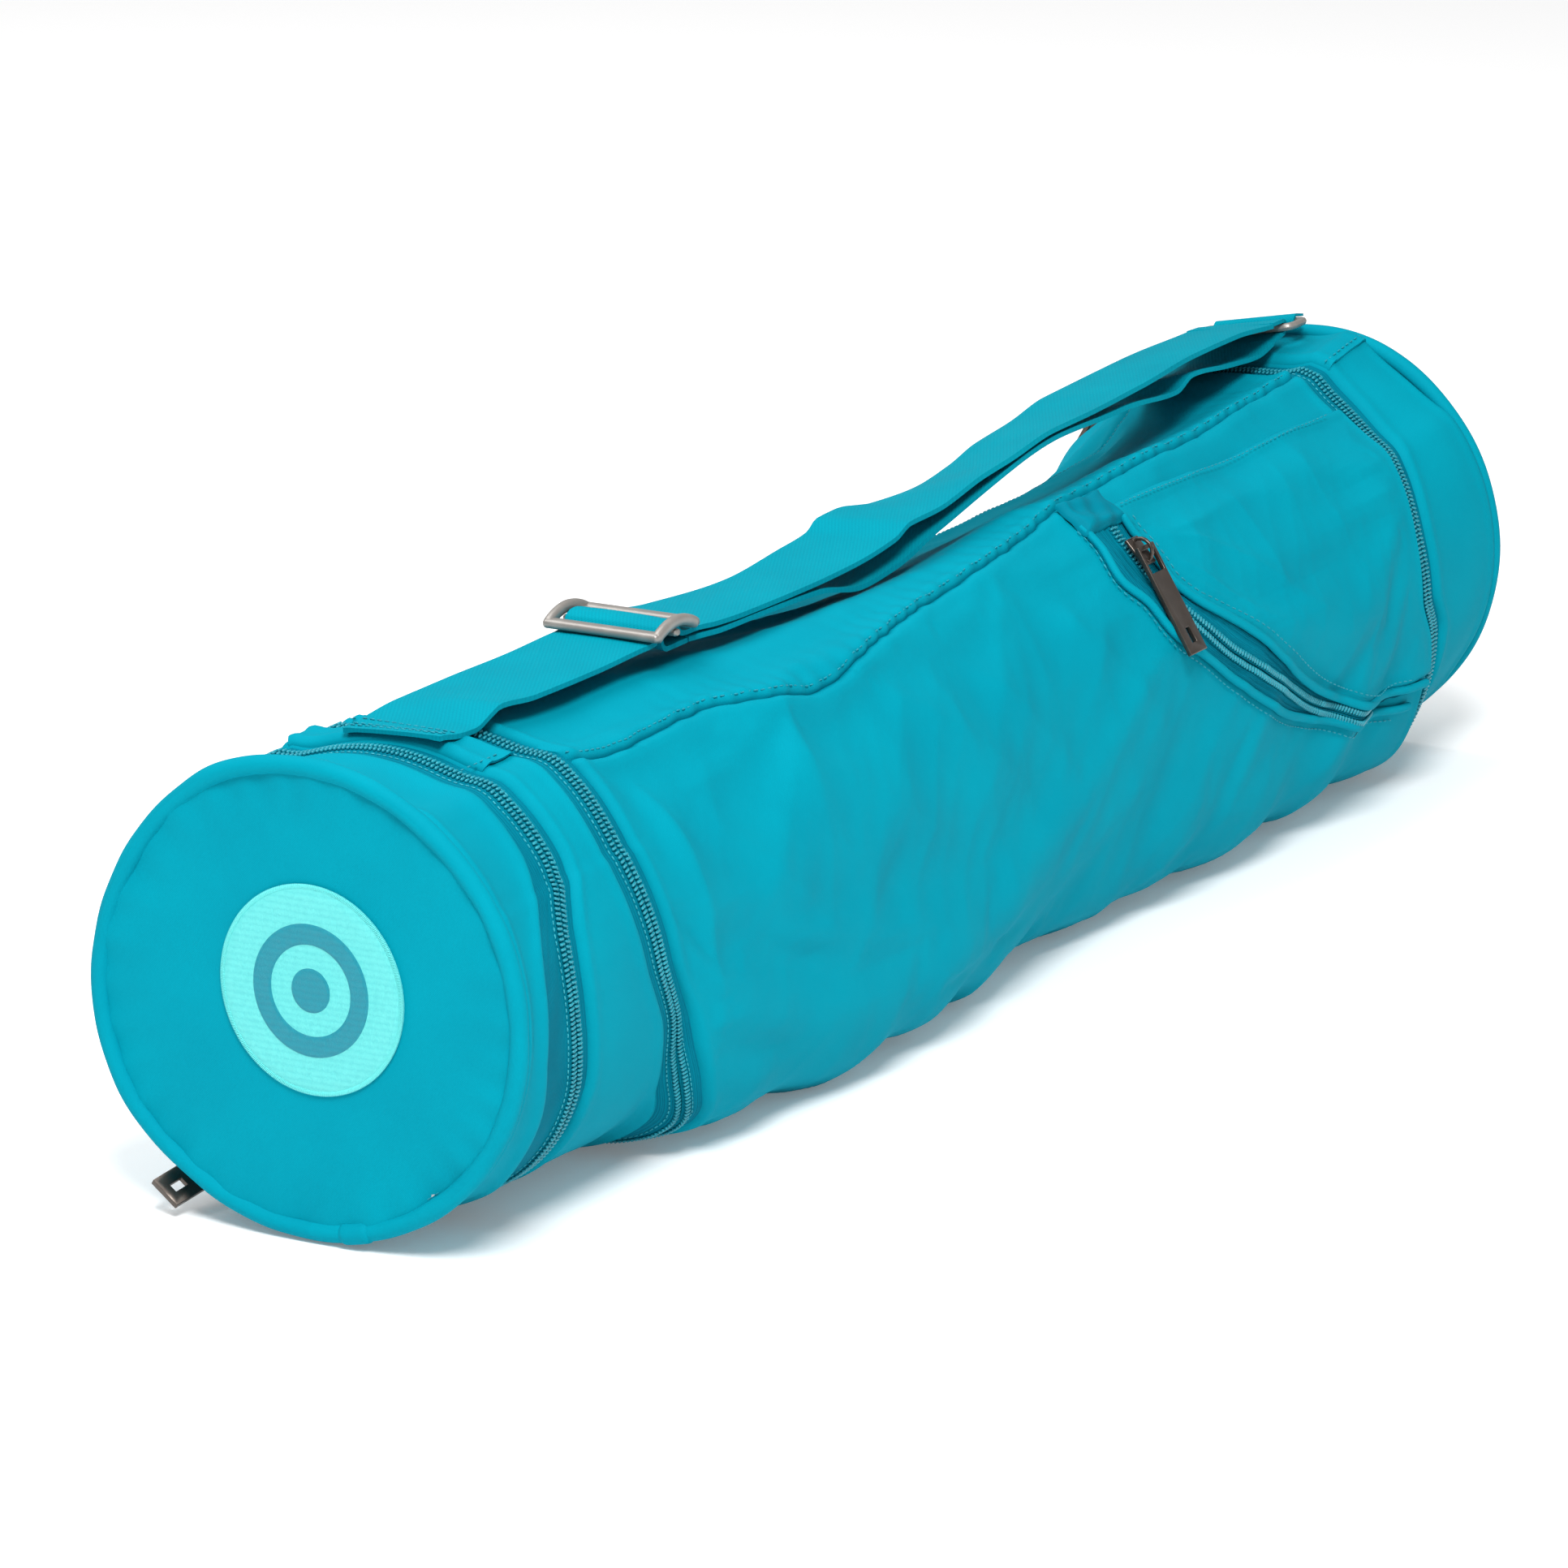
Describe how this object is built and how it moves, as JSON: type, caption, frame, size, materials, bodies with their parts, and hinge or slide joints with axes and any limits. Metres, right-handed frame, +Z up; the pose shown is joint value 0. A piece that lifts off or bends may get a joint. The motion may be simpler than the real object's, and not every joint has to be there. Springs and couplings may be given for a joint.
{
  "type": "exercise mat bag",
  "caption": "Soft cylindrical mat bag with round zipped ends, a zip-out extension, a curved zipped side pocket and an adjustable shoulder strap with ring and slider buckle.",
  "frame": {"origin": "on the floor plane at z = 0, under the bag axis, midway between the outermost planes of its two round ends", "axes": "+X along the bag from the near end to the far end, +Z up through the strap, -Y towards the side with the pocket"},
  "size_m": [0.7209, 0.1714, 0.1826],
  "materials": {
    "main_fabric": "matt teal close-woven fabric",
    "zip_tape": "matt ribbed zip tape",
    "zip_coil": "satin nylon coil",
    "webbing": "matt teal webbing",
    "embroidery": "light aqua stitched thread with a sheen",
    "buckle_metal": "dull grey plated steel",
    "slider_metal": "dark gunmetal",
    "end_board": "grey stiffening board",
    "lining": "thin coated lining"
  },
  "bodies": {
    "bag": {"body_fabric": "main_fabric", "top_panel": "main_fabric", "lid_zip_tape_body": "zip_tape", "lid_zip_coil_body": "zip_coil", "far_zip_tape_body": "zip_tape", "far_zip_coil_body": "zip_coil", "pocket_panel": "main_fabric", "pocket_tab": "main_fabric", "pocket_zip_coil": "zip_coil", "pocket_zip_tape_outer": "zip_tape", "pocket_zip_tape_inner": "zip_tape", "strap_near": "webbing", "strap_upper": "webbing", "strap_lower": "webbing"},
    "near_lid": {"lid_band": "main_fabric", "lid_panel": "main_fabric", "lid_zip_tape_lid": "zip_tape", "lid_zip_coil_lid": "zip_coil", "extension_zip_tape_lid": "zip_tape", "extension_zip_coil_lid": "zip_coil", "extension_gusset": "lining", "strap_end": "webbing"},
    "near_cap": {"near_disc": "main_fabric", "near_board": "end_board", "near_lining": "lining", "near_piping": "main_fabric", "near_band": "main_fabric", "extension_zip_tape_cap": "zip_tape", "extension_zip_coil_cap": "zip_coil", "embroidered_patch": "embroidery"},
    "far_lid": {"far_disc": "main_fabric", "far_board": "end_board", "far_lining": "lining", "far_piping": "main_fabric", "far_band": "main_fabric", "far_panel": "main_fabric", "far_zip_tape_lid": "zip_tape", "far_zip_coil_lid": "zip_coil", "ring_tab": "webbing"},
    "strap_ring": {"strap_ring": "buckle_metal"},
    "adjuster": {"tri_glide": "buckle_metal", "strap_sewn_loop": "webbing", "strap_through_buckle": "webbing"},
    "extension_slider": {"extension_slider": "slider_metal"},
    "extension_pull": {"extension_pull": "slider_metal"},
    "lid_slider": {"lid_slider": "slider_metal"},
    "lid_pull": {"lid_pull": "slider_metal"},
    "far_slider": {"far_slider": "slider_metal"},
    "far_pull": {"far_pull": "slider_metal"},
    "pocket_slider": {"pocket_slider": "slider_metal"},
    "pocket_pull": {"pocket_pull": "slider_metal"}
  },
  "joints": [
    {"name": "near_lid_hinge", "type": "hinge", "parent": "bag", "child": "near_lid", "pos_m": [-0.28003, 0, 0.15651], "axis": [0, 1, 0], "range_deg": [0, 95], "deforming": ["strap_near"]},
    {"name": "extension_slide", "type": "slide", "parent": "near_lid", "child": "near_cap", "axis": [-1, 0, 0], "range_m": [0, 0.055], "deforming": ["extension_gusset"]},
    {"name": "far_lid_hinge", "type": "hinge", "parent": "bag", "child": "far_lid", "pos_m": [0.307, 0, 0.1592], "axis": [0, -1, 0], "range_deg": [0, 95], "deforming": ["strap_upper", "strap_lower"]},
    {"name": "strap_ring_hinge", "type": "hinge", "parent": "far_lid", "child": "strap_ring", "pos_m": [0.3469, 0.016, 0.16452], "axis": [0, 0.9816, -0.1908], "range_deg": [0, 100]},
    {"name": "adjuster_slide", "type": "slide", "parent": "bag", "child": "adjuster", "axis": [1, 0, 0], "range_m": [-0.05, 0.1], "deforming": ["strap_near", "strap_upper", "strap_lower"]},
    {"name": "extension_zip_travel", "type": "hinge", "parent": "near_lid", "child": "extension_slider", "pos_m": [-0.3185, 0, 0.079], "axis": [1, 0, 0], "range_deg": [0, 350]},
    {"name": "extension_pull_swing", "type": "hinge", "parent": "extension_slider", "child": "extension_pull", "pos_m": [-0.3185, 0.05083, 0.01394], "axis": [0, -0.788, -0.6157], "range_deg": [0, 130]},
    {"name": "lid_zip_travel", "type": "hinge", "parent": "bag", "child": "lid_slider", "pos_m": [-0.2664, 0, 0.079], "axis": [0.9848, 0, 0.1736], "range_deg": [-264, 0]},
    {"name": "lid_pull_swing", "type": "hinge", "parent": "lid_slider", "child": "lid_pull", "pos_m": [-0.27599, 0.06136, 0.13341], "axis": [0.9848, 0, 0.1736], "range_deg": [0, 150]},
    {"name": "far_zip_travel", "type": "hinge", "parent": "bag", "child": "far_slider", "pos_m": [0.307, 0, 0.079], "axis": [1, 0, 0], "range_deg": [-264, 0]},
    {"name": "far_pull_swing", "type": "hinge", "parent": "far_slider", "child": "far_pull", "pos_m": [0.307, 0.06247, 0.13525], "axis": [1, 0, 0], "range_deg": [0, 150]},
    {"name": "pocket_zip_travel", "type": "hinge", "parent": "bag", "child": "pocket_slider", "pos_m": [0.104, 0, 0.079], "axis": [1, 0, 0], "range_deg": [0, 12]},
    {"name": "pocket_pull_swing", "type": "hinge", "parent": "pocket_slider", "child": "pocket_pull", "pos_m": [0.104, -0.06361, 0.13831], "axis": [-1, 0, 0], "range_deg": [0, 150]}
  ]
}
